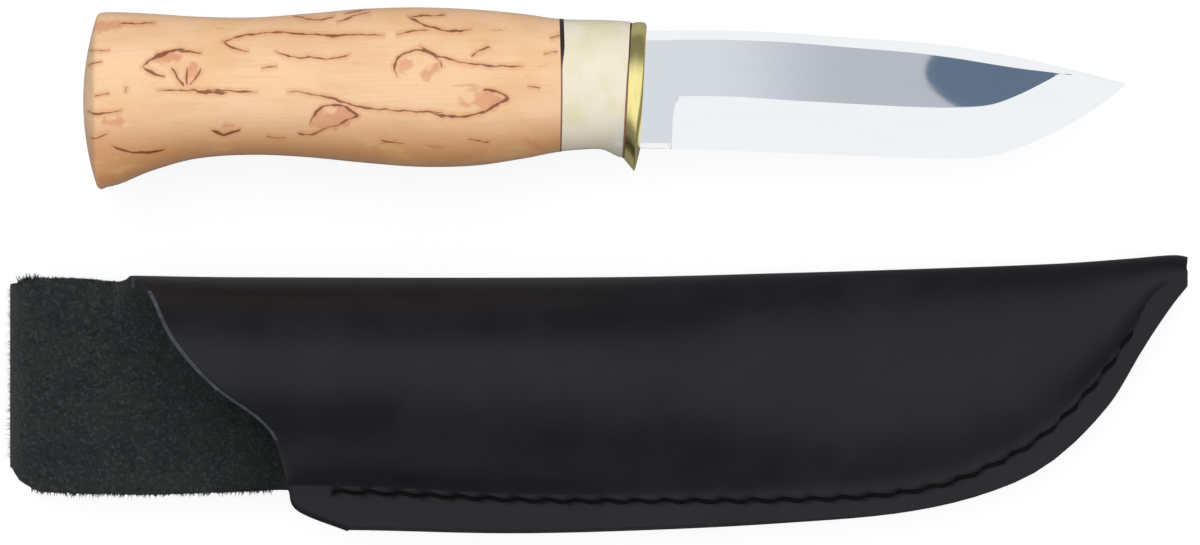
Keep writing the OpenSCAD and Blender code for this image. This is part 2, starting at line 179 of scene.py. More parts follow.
link_surface(world.node_tree, draw.node("MixShader", {}, {0: room_seen, 1: room, 2: backdrop}),
             "OutputWorld")


def soft_box(name, place, aim, size, power):
    """A large rectangular lamp turned to face a point."""
    light = bpy.data.lights.new(name, "AREA")
    light.shape = "RECTANGLE"
    light.size, light.size_y = size
    light.energy = power
    lamp = bpy.data.objects.new(name, light)
    lamp.location = place
    lamp.rotation_euler = (Vector(aim) - Vector(place)).to_track_quat("-Z", "Y").to_euler()
    lamp.visible_glossy = False
    scene.collection.objects.link(lamp)


soft_box("key_light", (-0.25, 0.85, 1.15), (0, 0, 0), (1.1, 0.7), 5.0)
soft_box("fill_light", (0.5, -0.9, 0.9), (0, 0, 0), (0.9, 0.6), 1.0)

CAMERA_RISE = 1.2               # above the height of the blade and the sheath's seam
SEAM_HEIGHT = 0.010             # of that blade and seam above the table
VIEW_WIDTH = 0.228              # of the table across the picture
VIEW_X, VIEW_Y = 0.00019, -0.00035
SENSOR_WIDTH = 36
camera_lens = bpy.data.cameras.new("camera")
camera_lens.sensor_width = SENSOR_WIDTH
camera_lens.lens = SENSOR_WIDTH * CAMERA_RISE / VIEW_WIDTH
camera = bpy.data.objects.new("camera", camera_lens)
camera.location = (VIEW_X, VIEW_Y, CAMERA_RISE + SEAM_HEIGHT)
scene.collection.objects.link(camera)
scene.camera = camera
scene.view_settings.view_transform = "Standard"

# ---- Blade ----
# Stainless steel, 3 mm thick and polished, with flat sides, narrow facets along the back and one
# wide bevel ground to the edge. It is one piece with the tang that runs on inside the grip.

BLADE_LEN, BLADE_H, BLADE_T = 91.6, 22.2, 3.0
GRIP_H, GRIP_T = 30.3, 21.0
GRIP_CREST = 0.521              # share of that height from the blade's middle to the back's highest place
BLADE = [  # share of the length, then the heights of back, flat's top, bevel shoulder and edge
    [0.000, 0.508, 0.455, -0.050, -0.492], [0.040, 0.509, 0.455, -0.050, -0.495],
    [0.080, 0.512, 0.457, -0.050, -0.502],
    [0.180, 0.510, 0.455, -0.054, -0.514], [0.300, 0.490, 0.434, -0.086, -0.532],
    [0.430, 0.450, 0.390, -0.116, -0.554], [0.570, 0.411, 0.341, -0.144, -0.575],
    [0.650, 0.374, 0.296, -0.148, -0.580], [0.720, 0.328, 0.245, -0.126, -0.558],
    [0.780, 0.282, 0.199, -0.036, -0.486], [0.840, 0.227, 0.160, 0.090, -0.383],
    [0.866, 0.200, 0.1415, 0.1412, -0.328], [0.930, 0.138, 0.1052, 0.105, -0.175],
    [0.970, 0.093, 0.076, 0.070, -0.055], [1.000, 0.060, 0.055, 0.050, 0.042]]
BEVEL_H = 0.43 * BLADE_H
LEAN = tan(radians(3))          # the guard's plane leans forward at the top
HEEL = 0.0595                   # share of the blade left at full thickness
HEEL_Y = BLADE_H * BLADE[0][4]

knife_box = [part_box("blade"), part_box("birch_grip")]
knife_at = Vector((knife_box[0][1].x / MM - BLADE_LEN,
                   knife_box[1][1].y / MM - GRIP_CREST * GRIP_H,
                   (knife_box[0][0].z + knife_box[0][1].z) / 2 / MM))


def on_knife(x, y, z):
    """A place measured in millimetres from the middle of the guard's front face."""
    return (knife_at + Vector((x, y, z))) * MM


def clamp(x, low=0.0, high=1.0):
    return min(max(x, low), high)


def lerp(a, b, share):
    return a + (b - a) * share


def ease(low, high, x):
    s = clamp((x - low) / (high - low))
    return s * s * (3 - 2 * s)


def along(stations, x, column=1):
    """Smooth value of a column of the stations at x."""
    last = len(stations) - 1
    i = 0
    while i < last - 1 and x > stations[i + 1][0]:
        i += 1

    def grade(k):
        a, b = stations[max(k - 1, 0)], stations[min(k + 1, last)]
        return (b[column] - a[column]) / (b[0] - a[0])

    wide = stations[i + 1][0] - stations[i][0]
    s = clamp((x - stations[i][0]) / wide)
    return (stations[i][column] * (1 + 2 * s) * (1 - s) ** 2 + stations[i + 1][column] * s * s * (3 - 2 * s)
            + wide * (grade(i) * s * (1 - s) ** 2 - grade(i + 1) * s * s * (1 - s)))


def wrapped(rows, around, place, bm=None):
    """A grid wrapped round a piece: place(row, share round) gives each point in metres."""
    bm = bm or bmesh.new()
    wrap = bmesh.ops.create_grid(bm, x_segments=rows, y_segments=around, size=0.5)["verts"]
    for v in wrap:
        v.co = place(round((v.co.x + 0.5) * rows), v.co.y + 0.5)
    bmesh.ops.remove_doubles(bm, verts=wrap, dist=2e-6)
    return bm


def finish_piece(bm, name, body, nodes, materials, crease=30):
    """Makes an object of a bmesh, smooth but for creases sharper than an angle."""
    bmesh.ops.dissolve_degenerate(bm, edges=bm.edges, dist=1e-6)
    bmesh.ops.recalc_face_normals(bm, faces=bm.faces)
    for edge in bm.edges:
        if len(edge.link_faces) == 2 and edge.calc_face_angle(0) > radians(crease):
            edge.smooth = False
    for face in bm.faces:
        face.smooth = True
    mesh = bpy.data.meshes.new(name)
    bm.to_mesh(mesh)
    bm.free()
    for material in materials:
        mesh.materials.append(material)
    piece = bpy.data.objects.new(name, mesh)
    scene.collection.objects.link(piece)
    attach(piece, body)
    if nodes:
        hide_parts(*nodes)
    return piece


def new_material(name):
    material = bpy.data.materials.new(name)
    return material, empty_tree(material)


def places(draw):
    """Object coordinates of the surface, in metres."""
    return draw.node("TexCoord", out="Object")


def noise(place, scale, detail=4.0, rough=0.5, stretch=(1, 1, 1), shift=(0, 0, 0), distortion=0.0):
    moved = place.node("Mapping", {}, {"Vector": place, "Scale": stretch, "Location": shift})
    return place.node("TexNoise", {}, {"Vector": moved, "Scale": scale, "Detail": detail,
                                       "Roughness": rough, "Distortion": distortion})


def shader(draw, colour, rough, height=None, depth=0.0, **fixed):
    """A Principled surface; height in metres is given to a Bump node, the rest to its sockets."""
    inputs = {"Base Color": colour, "Roughness": rough}
    if height is not None:
        inputs["Normal"] = draw.node("Bump", {}, {"Height": height, "Distance": depth, "Strength": 1.0})
    inputs.update({name.replace("_", " "): value for name, value in fixed.items()})
    return draw.node("BsdfPrincipled", {}, inputs)


polished_steel, draw = new_material("polished_steel")
place = places(draw)
grind = noise(place, 900, 5, 0.6, (0.05, 1, 1))
haze = noise(place, 45, 3, 0.5)
steel_colour = draw.colour((0.90, 0.92, 0.945, 1)).mix(draw.colour((0.84, 0.86, 0.89, 1)),
                                                      grind.rise(0.45, 0.8, 0.35))
steel_rough = 0.012 + grind.rise(0.35, 0.75, 0.006) + haze.rise(0.4, 0.7, 0.01)
link_surface(polished_steel.node_tree, shader(draw, steel_colour, steel_rough, Metallic=1.0))

CHAMFER = 0.16                  # slope of the narrow polished facets along back and heel
HEEL_CHAMFER, PLUNGE_LEN, EDGE_FLAT = 0.9, 0.0205, 0.05
NOTCH, NOTCH_AT, NOTCH_HALF = 0.7, 0.0515, 0.0022   # its depth, then shares of the length
TANG_LEN, TANG_H, TANG_T, TANG_Y = 74, 10.5, 2.6, 0.5


def blade_section(share):
    """Points from the back down one side to the edge: height and half thickness."""
    back, flat, bevel_top, edge = (BLADE_H * along(BLADE, share, c) for c in (1, 2, 3, 4))
    t = BLADE_T / 2 * min(1, (back - edge) / BEVEL_H)
    b = max(t / 2, t - CHAMFER * (back - flat))
    flat = lerp(flat, bevel_top, 0.04)
    into_bevel = clamp((share - HEEL) / PLUNGE_LEN)
    shoulder = lerp(edge + HEEL_CHAMFER, bevel_top, (1 - (1 - into_bevel) ** 2.5) ** 0.4)
    ground = ease(HEEL - 0.001, HEEL + 0.001, share)
    edge += NOTCH * exp(-((share - NOTCH_AT) / NOTCH_HALF) ** 2)
    thin = min(EDGE_FLAT, t * 0.9)

    def bevel(y):
        plane = lerp(t, thin, clamp((bevel_top - y) / (bevel_top - edge)))
        return lerp(t - CHAMFER * (shoulder - y), plane, ground)
    points = [(back, 0), (back, b * 0.9)]
    points += [(lerp(back, flat, s), lerp(b, t, s)) for s in (0.0, 0.05, 0.5, 0.95, 1.0)]
    points += [(lerp(flat, shoulder, s), t) for s in (0.02, 0.5, 0.985, 1)]
    foot = shoulder - min(0.12, (shoulder - edge) / 4)
    ground_down = [foot, lerp(foot, edge, 0.03), lerp(foot, edge, 0.5), lerp(foot, edge, 0.97), edge]
    points += [(y, bevel(y)) for y in ground_down]
    points.append((edge, 0))
    return points


blade_shares = ([0, 0.012, 0.024, 0.036, 0.044] + [0.046 + 0.0008 * i for i in range(46)]
                + [0.084 + 0.012 * i for i in range(76)] + [0.988, 0.994, 1.0])
blade_sides = [blade_section(s) for s in blade_shares]
tang_rows = [(-TANG_LEN, TANG_H * 0.3), (-TANG_LEN + 4, TANG_H * 0.62), (-TANG_LEN / 2, TANG_H * 0.8),
             (-0.02, TANG_H)]


def blade_place(row, share):
    points = len(blade_sides[0])
    k = round(share * 2 * (points - 1))
    side = 1 if k < points else -1
    k = k if k < points else 2 * (points - 1) - k
    if row == 0:
        return on_knife(-TANG_LEN, TANG_Y, 0)
    if row <= len(tang_rows):
        x, h = tang_rows[row - 1]
        y = TANG_Y + h * (0.5 - k / (points - 1))
        z = 0 if k in (0, points - 1) else TANG_T / 2 * (0.7 if k in (1, points - 2) else 1)
        return on_knife(x + (y * LEAN if x > -1 else 0), y, side * z)
    row -= len(tang_rows) + 1
    if row == len(blade_shares):
        y = (blade_sides[-1][0][0] + blade_sides[-1][-1][0]) / 2
        return on_knife(BLADE_LEN, y, 0)
    y, z = blade_sides[row][k]
    x = blade_shares[row] * BLADE_LEN + y * LEAN * (1 - ease(0, 0.044, blade_shares[row]))
    return on_knife(min(x, BLADE_LEN), y, side * z)


bm = wrapped(len(tang_rows) + 1 + len(blade_shares), 2 * (len(blade_sides[0]) - 1), blade_place)
finish_piece(bm, "ground_blade", "knife", ["blade"], [polished_steel], crease=28)

# ---- Guard and liner ----
# The guard is brass plate filed to a lens-shaped rim, with a pointed lug that stops the finger.
# A thin fibre liner, black above and brown below, lies behind it. Both are slotted for the tang.

GUARD_T, GUARD_LUG, LINER_T = 2.8, 4.3, 0.5
SLOT_H, SLOT_T = TANG_H + 0.1, TANG_T + 0.1
GUARD_STEPS, RIM_STEPS = 24, 96 # across the guard's thickness, and round it and the rings behind it
GUARD_RIM = [[0, 0.05, 0.52, 0.35], [0.29, 0.25, 0.74, 0.55], [0.54, 0.3, 0.93, 0.6], [0.68, 0.25, 1, 0.55],
             [0.82, 0.2, 0.66, 0.5], [0.93, -0.05, 0.28, 0.3], [1, -0.45, 0.05, 0]]
GRIP = [  # share of the grip's length behind the guard, then back, belly and half thickness
    [0.000, 0.420, -0.362, 0.440], [0.060, 0.440, -0.362, 0.448], [0.150, 0.449, -0.384, 0.458],
    [0.210, 0.478, -0.424, 0.474], [0.300, 0.508, -0.470, 0.494], [0.400, 0.521, -0.478, 0.500],
    [0.500, 0.512, -0.452, 0.480], [0.600, 0.482, -0.418, 0.452], [0.700, 0.458, -0.403, 0.438],
    [0.800, 0.464, -0.428, 0.450], [0.880, 0.482, -0.505, 0.474], [0.945, 0.492, -0.596, 0.492],
    [1.000, 0.488, -0.619, 0.496]]
ROUND = 0.94                    # a little squarer than an ellipse


def power(value, exponent):
    return (1 if value >= 0 else -1) * abs(value) ** exponent


def oval(x, top, low, half, tilt=0.0, grow=1.0, squareness=ROUND):
    """A ring round the knife: its place, heights, half thickness, lean, size and corners."""
    return x, (top + low) / 2, grow * (top - low) / 2, grow * half, tilt, squareness


def slot_ring(x, h, t, tilt=0.0):
    return oval(x, TANG_Y + h / 2, TANG_Y - h / 2, t / 2, tilt, 1, 0.1)


def through_rings(rings, around, bend=None, closed=False):
    """Skin through rings; a closed one is a tube whose last ring meets its first."""
    rings = rings + rings[:1] if closed else rings

    def at_ring(row, share):
        x, middle, high, half, tilt, squareness = rings[row]
        y = middle + high * power(cos(2 * pi * share), squareness)
        z = half * power(sin(2 * pi * share), squareness)
        return on_knife(x + y * tilt + (bend(row, y) if bend else 0), y, z)
    return wrapped(len(rings) - 1, around, at_ring)


brass, draw = new_material("polished_brass")
place = places(draw)
rub = noise(place, 700, 4, 0.6, (1, 0.15, 1))
tarnish = noise(place, 260, 4, 0.6)
brass_colour = draw.colour(paint(255, 243, 166)).mix(draw.colour(paint(252, 226, 138)),
                                                    tarnish.rise(0.42, 0.75, 0.6))
link_surface(brass.node_tree, shader(draw, brass_colour, 0.24 + rub.rise(0.4, 0.8, 0.1), rub, 0.000002,
                                     Metallic=1.0))

guard_top, guard_half = GRIP_H * GRIP[0][1], GRIP_T * GRIP[0][3]
guard_rings = []
for i in range(GUARD_STEPS + 1):
    s = i / GUARD_STEPS
    rise, lug, wide = (along(GUARD_RIM, s, c) for c in (1, 2, 3))
    guard_rings.append(oval(GUARD_T * (s - 1) - 0.1 * (1 - s) ** 6, guard_top + rise,
                            HEEL_Y - GUARD_LUG * lug, guard_half + wide, LEAN))
for x, grow in ((0, 0.97), (0, 0.9)):
    guard_rings.append(oval(x, guard_top, HEEL_Y, guard_half, LEAN, grow))
guard_rings += [slot_ring(0, SLOT_H, SLOT_T, LEAN), slot_ring(-GUARD_T, SLOT_H, SLOT_T, LEAN)]
finish_piece(through_rings(guard_rings, RIM_STEPS, closed=True), "brass_guard", "knife", ["guard"],
             [brass], crease=35)

black_fibre, draw = new_material("black_fibre")
place = places(draw)
speck = noise(place, 1500, 3, 0.6)
up_edge = place.axis("Y")
fibre_colour = draw.colour(paint(140, 98, 78)).mix(draw.colour(paint(40, 30, 28)),
                                                  up_edge.rise((knife_at.y + 2) * MM, (knife_at.y + 8) * MM))
fibre_colour = fibre_colour.mix(draw.colour(paint(66, 50, 42)), speck.rise(0.5, 0.8, 0.6))
link_surface(black_fibre.node_tree, shader(draw, fibre_colour, 0.45 + speck.rise(0.4, 0.7, 0.2), speck,
                                           0.00001))

SEAT_LUG = 0.42 * GUARD_LUG
washer = [(x, guard_top + grow, HEEL_Y - SEAT_LUG - grow, guard_half + grow)
          for x, grow in ((-GUARD_T - LINER_T, 0.1), (-GUARD_T - LINER_T * 0.75, 0.15),
                          (-GUARD_T - LINER_T * 0.25, 0.15), (-GUARD_T, 0.1))]
liner_rings = [oval(x, top, low, half, LEAN) for x, top, low, half in washer]
liner_rings += [slot_ring(x, SLOT_H, SLOT_T, LEAN) for x in (-GUARD_T, -GUARD_T - LINER_T)]
finish_piece(through_rings(liner_rings, RIM_STEPS, closed=True), "fibre_liner", "knife", ["guard_liner"],
             [black_fibre], crease=35)

# ---- Antler collar and fibre spacer ----
# The collar is a slice of reindeer antler, bored for the tang, ground flush with the grip and
# flared down into the guard's lug. A fibre spacer, thicker at the top, parts it from the birch.

ANTLER_LEN, SPACER_T, WOOD_LEN = 11.7, 0.9, 90.4
ANTLER_X = -GUARD_T - LINER_T
SPACER_X = ANTLER_X - ANTLER_LEN
WOOD_X = SPACER_X - SPACER_T
GRIP_LEN = WOOD_LEN - WOOD_X
BORE_H, BORE_T = TANG_H + 2.2, TANG_T + 2.2
JOINT_BOW, JOINT_HALF = 0.32, 13.5      # of the joint with the birch: its depth, and half its height
SPACER_LEAST, SPACER_MORE = 0.32, 0.5   # the spacer's thickness below, and how much more it is above
ANTLER_STEPS = 14


def grip_heights(x):
    return [size * along(GRIP, -x / GRIP_LEN, c) for size, c in ((GRIP_H, 1), (GRIP_H, 2), (GRIP_T, 3))]


def joint_bow(y):
    """The joint between birch and antler curves a little towards the blade."""
    return JOINT_BOW * (1 - (y / JOINT_HALF) ** 2)


def spacer_edge(y):
    """How far the spacer reaches ahead of the birch: most at the top."""
    return SPACER_LEAST + SPACER_MORE * ease(3.5, 8.5, y)


def behind_guard(place):
    """Millimetres behind the guard, above the blade's middle and out from its side."""
    return place.node("Mapping", {}, {"Vector": place, "Scale": (-1 / MM, 1 / MM, 1 / MM),
                                      "Location": (knife_at.x, -knife_at.y, -knife_at.z)})


antler, draw = new_material("antler")
place = places(draw)
cloud = noise(place, 150, 5, 0.55, (1, 0.8, 1), (0.3, 0.1, 0))
marble = noise(place, 330, 5, 0.65, (1, 0.7, 1), (0.7, 0, 0), 0.4)
pores = noise(place, 2400, 3, 0.6)
on_antler = behind_guard(place)
low_front = (1 - on_antler.axis("Y").rise(-9.5, -1)) * (1 - on_antler.axis("X").rise(3.5, 9.5))
antler_colour = draw.colour(paint(235, 226, 206)).mix(draw.colour(paint(226, 217, 180)),
                                                     cloud.rise(0.42, 0.66, 0.85))
antler_colour = antler_colour.mix(draw.colour(paint(243, 226, 208)), marble.rise(0.55, 0.72, 0.6))
antler_colour = antler_colour.mix(draw.colour(paint(190, 194, 194)),
                                  low_front * (0.15 + marble.rise(0.38, 0.62, 0.55)))
antler_colour = antler_colour.mix(draw.colour(paint(196, 190, 160)), pores.rise(0.62, 0.75, 0.35))
link_surface(antler.node_tree, shader(draw, antler_colour, 0.2 + cloud.rise(0.4, 0.7, 0.12), pores, 0.00002,
                                      Specular_IOR_Level=0.45))

antler_rings = []
for i in range(ANTLER_STEPS + 1):
    s = i / ANTLER_STEPS
    x = SPACER_X + ANTLER_LEN * s
    top, low, half = grip_heights(x)
    antler_rings.append(oval(x, top, lerp(low, HEEL_Y - SEAT_LUG, ease(0.45, 1, s) ** 2), half, LEAN * s))
antler_rings += [slot_ring(ANTLER_X, BORE_H, BORE_T, LEAN), slot_ring(SPACER_X, BORE_H, BORE_T)]


def antler_bend(row, y):
    """The collar's back follows the spacer's front, and its outer rim closes on the liner."""
    shift = joint_bow(y) + spacer_edge(y) - SPACER_T
    if row > ANTLER_STEPS:
        return shift if row > ANTLER_STEPS + 1 else 0
    return shift * (1 - row / ANTLER_STEPS) + 0.14 * (row / ANTLER_STEPS) ** 8


finish_piece(through_rings(antler_rings, RIM_STEPS, antler_bend, closed=True), "antler_slice", "knife",
             ["antler_collar"], [antler], crease=35)

spacer_rings = []
for x in (WOOD_X, WOOD_X + 0.1, SPACER_X - 0.1, SPACER_X):
    top, low, half = grip_heights(x)
    grow = 0.05 if WOOD_X < x < SPACER_X else 0
    spacer_rings.append(oval(x, top + grow, low - grow, half + grow))
spacer_rings += [slot_ring(SPACER_X, BORE_H, BORE_T), slot_ring(WOOD_X, BORE_H, BORE_T)]


def spacer_bend(row, y):
    front = row in (2, 3, 4)
    return joint_bow(y) + (spacer_edge(y) - SPACER_T if front else 0)


finish_piece(through_rings(spacer_rings, RIM_STEPS, spacer_bend, closed=True), "fibre_washer", "knife",
             ["fibre_spacer"], [black_fibre], crease=35)

# ---- Birch grip ----
# One block of curly birch, bored for the tang, shaped to the hand with a flared butt, then oiled
# and polished. The wood's own curls draw its brown figure, each a short tapering line.

BUTT_EDGE, BUTT_DOME = 0.7, 2.8
CURLS = [  # thickness in millimetres, then points behind the guard and above the blade's middle
    (0.16, (98.9, 12.5), (92.4, 12.7)), (0.09, (104.9, 7.2), (100.9, 7.3)),
    (0.12, (104.9, 4.5), (101.9, 5.2)),
    (0.26, (94.3, 4.3), (90.6, 6.6), (86.7, 7.5)), (0.18, (88.4, 7.3), (83.3, 7.0)),
    (0.21, (94.3, 4.3), (92.4, 3.0), (90.4, 2.3)), (0.19, (88.8, 3.7), (86.7, 0.6)),
    (0.16, (85.9, 3.9), (85.9, 0.9)),
    (0.16, (83.3, 3.7), (85.3, 0.9)), (0.16, (90.7, -0.3), (82.0, -0.2), (73.4, -0.5)),
    (0.26, (85.4, 0.0), (82.0, -0.5), (78.4, -0.8)), (0.14, (103.3, -1.2), (100.5, -0.8)),
    (0.13, (97.5, 0.6), (97.5, -0.8)), (0.17, (104.9, -4.2), (101.6, -4.6), (98.3, -4.0)),
    (0.12, (104.3, -9.2), (102.3, -9.0), (100.9, -8.4)), (0.19, (100.2, -10.4), (95.9, -11.9), (90.4, -10.9)),
    (0.22, (81.5, -7.7), (78.9, -8.4), (76.1, -7.5)), (0.16, (79.2, 9.2), (74.6, 10.3), (68.6, 10.9)),
    (0.18, (70.6, 10.9), (64.0, 10.5), (57.4, 10.1)), (0.14, (60.4, 10.1), (54.8, 10.3), (49.4, 10.2)),
    (0.14, (79.2, 9.2), (77.6, 7.9), (74.7, 7.3)), (0.16, (69.4, 7.3), (66.0, 6.0), (62.4, 6.2)),
    (0.14, (63.4, 6.2), (59.4, 5.8), (55.5, 6.4)), (0.13, (66.3, 14.2), (62.6, 13.3), (58.8, 14.0)),
    (0.16, (57.8, 12.7), (55.3, 13.8), (51.9, 14.6)), (0.10, (56.8, 14.4), (51.9, 15.5)),
    (0.14, (46.6, 10.2), (44.1, 10.8), (40.9, 11.3)), (0.18, (44.1, 13.8), (39.4, 11.5), (33.2, 11.2)),
    (0.14, (43.7, 13.8), (37.5, 14.2)), (0.24, (46.4, 2.5), (46.6, 5.4), (44.0, 6.9)),
    (0.26, (45.4, 6.3), (42.1, 7.4), (38.8, 6.0)), (0.12, (39.8, 6.6), (38.4, 5.3), (37.8, 3.8)),
    (0.16, (42.1, 8.1), (38.4, 6.1), (34.6, 5.1)), (0.16, (35.6, 5.2), (29.6, 4.5), (23.1, 4.5)),
    (0.13, (32.4, 6.0), (30.6, 7.3), (28.9, 7.9)), (0.14, (66.6, -0.6), (61.6, -1.1), (57.2, -2.3)),
    (0.18, (58.6, -1.8), (53.4, -3.4), (48.6, -4.0)), (0.16, (50.6, -3.9), (44.4, -4.1), (38.2, -4.4)),
    (0.22, (40.2, -4.2), (34.4, -5.2), (29.2, -3.8)), (0.26, (29.8, -4.0), (27.6, -3.0), (25.4, -1.7)),
    (0.19, (25.3, -1.8), (27.0, -0.7), (30.2, -0.2)), (0.19, (62.6, -6.6), (60.0, -3.2), (56.6, -3.4)),
    (0.18, (57.6, -3.1), (54.9, -4.2), (54.0, -5.3)), (0.16, (53.8, -5.0), (57.8, -6.6), (62.4, -8.2)),
    (0.14, (60.4, -7.5), (63.0, -8.5), (65.2, -8.1)), (0.13, (17.7, 9.8), (15.8, 10.4)),
    (0.10, (18.8, 6.8), (16.2, 7.1)), (0.12, (72.0, 3.9), (69.0, 4.4)), (0.10, (49.6, -9.6), (45.2, -10.3)),
    (0.12, (33.0, -9.4), (29.0, -9.9)), (0.10, (71.0, -9.0), (67.6, -9.3)), (0.10, (22.0, 0.6), (19.4, 0.3))]
EYES = [  # soft reddish fills inside the curls
    (1.1, (104.6, 11.6), (98.6, 12.2)), (0.9, (92.6, 5.6), (87.2, 6.2)), (0.9, (46.0, 3.2), (43.6, 5.4)),
    (0.9, (38.6, 4.8), (41.6, 1.6)), (0.6, (35.2, -1.6), (32.6, -3.2)),
    (1.3, (32.4, -2.6), (26.6, -2.0)), (1.75, (62.6, -6.4), (54.4, -4.8)), (0.7, (22.6, -9.6), (19.6, -10.7)),
    (0.8, (85.6, 2.4), (84.6, 5.0)), (0.7, (102.0, -6.4), (97.6, -6.0)), (0.6, (79.6, -7.0), (77.4, -6.8))]

birch, draw = new_material("curly_birch")
place = places(draw)
near_side = behind_guard(place)
lift = near_side.axis("Z")
far_side = near_side.node("Mapping", {}, {"Vector": near_side, "Scale": (-1, -0.92, 1),
                                          "Location": (121, 1.2, 0)})
flipped = near_side.node("Mix", {"data_type": "VECTOR"},
                         {0: lift.math("LESS_THAN", 0.0), 4: near_side, 5: far_side}, 1)
wander = flipped.node("TexNoise", {}, {"Vector": flipped, "Scale": 0.4, "Detail": 1.5, "Roughness": 0.5},
                      "Color")
wander = wander.node("VectorMath", {"operation": "SUBTRACT"}, {0: wander, 1: (0.5, 0.5, 0.5)})
wander = wander.node("VectorMath", {"operation": "MULTIPLY"}, {0: wander, 1: (1.1, 0.9, 0)})
figure_place = wander.node("VectorMath", {"operation": "ADD"}, {0: flipped, 1: wander})
uneven = flipped.node("TexNoise", {}, {"Vector": flipped, "Scale": 0.55, "Detail": 1.0})
uneven = uneven.rise(0.32, 0.68, 0.9) + 0.55


def marks(strokes, fullness):
    """How deep the surface lies inside any of the strokes, in millimetres; negative outside."""
    deepest = None
    for thick, *points in strokes:
        (s0, h0), (s1, h1) = points[0], points[-1]
        half = hypot(s1 - s0, h1 - h0) / 2
        turn = atan2(h1 - h0, s1 - s0)
        bulge = 0.0
        if len(points) == 3:
            ds, dh = points[1][0] - (s0 + s1) / 2, points[1][1] - (h0 + h1) / 2
            u = (ds * cos(turn) + dh * sin(turn)) / half
            bulge = (dh * cos(turn) - ds * sin(turn)) / max(0.5, 1 - u * u)
        stroke = figure_place.node("Mapping", {"vector_type": "TEXTURE"},
                                   {"Vector": figure_place, "Location": ((s0 + s1) / 2, (h0 + h1) / 2, 0),
                                    "Rotation": (0, 0, turn), "Scale": (half * 1.08, 1, 1)})
        u = stroke.axis("X")
        v = Wire(u.tree, u.out.node.outputs["Y"])
        taper = 1 - u * u
        body = taper.math("MINIMUM", 1 / fullness) * (thick * fullness)
        inside = body * uneven - abs(taper.math("MULTIPLY_ADD", -bulge, v))
        inside = inside.math("MINIMUM", taper * 5)
        deepest = inside if deepest is None else deepest.math("MAXIMUM", inside)
    return deepest


body_side = abs(lift).rise(0.2, 2.2)
curls = marks(CURLS, 2.6)
line = curls.rise(-0.07, 0.11) * body_side
halo = curls.rise(-1.0, 0.1) * body_side
eye = marks(EYES, 1.6).rise(-0.5, 0.5) * body_side
flecks = noise(place, 420, 3, 0.55, (0.3, 1, 1), (0.2, 0.5, 0.1), 0.8)
patches = noise(place, 95, 2, 0.5, (1, 1, 1), (0.4, 0.3, 0.6)).rise(0.45, 0.6)
faint = flecks.rise(0.64, 0.72) * patches
grain = noise(place, 2100, 4, 0.6, (0.035, 1, 1))
clouds = noise(place, 75, 4, 0.55, (0.6, 1.4, 1.4), (0.1, 0.8, 0.2))
gold = noise(place, 130, 4, 0.5, (0.7, 1, 1), (0.9, 0.4, 0.7))
rays = noise(place, 1300, 2, 0.5, (0.22, 1, 1), (0, 0.2, 0))
high = near_side.axis("Y")
wood = draw.colour(paint(243, 202, 160)).mix(draw.colour(paint(232, 184, 142)), clouds.rise(0.4, 0.68, 0.8))
# Painted shade: the grip turns darker and deeper orange towards its bottom side, and a little darker along its
# top edge, standing in for how the light from above falls on it.
wood = wood.mix(draw.colour(paint(206, 144, 92)), (1 - high.rise(-13.0, -2.5)) * 0.85)
wood = wood.mix(draw.colour(paint(236, 184, 142)), high.rise(8.0, 15.5, 0.4))
wood = wood.mix(draw.colour(paint(214, 160, 116)), grain.rise(0.42, 0.8, 0.28))
wood = wood.mix(draw.colour(paint(250, 218, 182)), rays.rise(0.6, 0.8, 0.2))
wood = wood.mix(draw.colour(paint(232, 184, 128)), gold.rise(0.5, 0.66, 0.55))
wood = wood.mix(draw.colour(paint(216, 146, 96)), halo * 0.5)
wood = wood.mix(draw.colour(paint(214, 144, 108)), eye * (0.45 + clouds.rise(0.35, 0.6, 0.4)))
wood = wood.mix(draw.colour(paint(186, 122, 78)), faint * 0.45)
wood = wood.mix(draw.colour(paint(112, 54, 18)), line * 0.84)
link_surface(birch.node_tree, shader(draw, wood, 0.3 + grain.rise(0.4, 0.8, 0.12) + line * 0.06, grain,
                                     0.000012, Specular_IOR_Level=0.4, Coat_Weight=0.25,
                                     Coat_Roughness=0.12))

END_X = WOOD_X - WOOD_LEN + BUTT_EDGE + BUTT_DOME
butt = [GRIP_H * GRIP[-1][1], GRIP_H * GRIP[-1][2], GRIP_T * GRIP[-1][3]]
grip_rings = [oval(END_X - BUTT_EDGE - BUTT_DOME * (1 - q * q), *butt, 0, q)
              for q in (0, 0.15, 0.3, 0.45, 0.6, 0.72, 0.82, 0.88)]
for degrees in range(90, -1, -10):
    q = 1 - BUTT_EDGE * (1 - cos(radians(degrees))) / GRIP_H * 2
    grip_rings.append(oval(END_X - BUTT_EDGE * sin(radians(degrees)) - BUTT_DOME * (1 - q * q), *butt, 0, q))
SIDE_STEPS, GRIP_STEPS = 96, 144        # along the sides, and round them
for i in range(1, SIDE_STEPS + 1):
    x = lerp(END_X, WOOD_X, i / SIDE_STEPS)
    grip_rings.append(oval(x, *grip_heights(x)))
front_row = len(grip_rings) - 1
grip_rings += [slot_ring(WOOD_X, BORE_H, BORE_T), slot_ring(-TANG_LEN - 2, BORE_H, BORE_T),
               slot_ring(-TANG_LEN - 2, 0.01, 0.01)]


def grip_bend(row, y):
    return joint_bow(y) * ease(front_row - 14, front_row, row) * (1 if row <= front_row + 1 else 0)


finish_piece(through_rings(grip_rings, GRIP_STEPS, grip_bend), "birch_handle", "knife", ["birch_grip"],
             [birch], crease=50)

# The glue that beds the tang is cured epoxy, poured into the bore before the tang goes in.
# None of it shows, so it keeps its plain shape and only gets its own clear amber look.

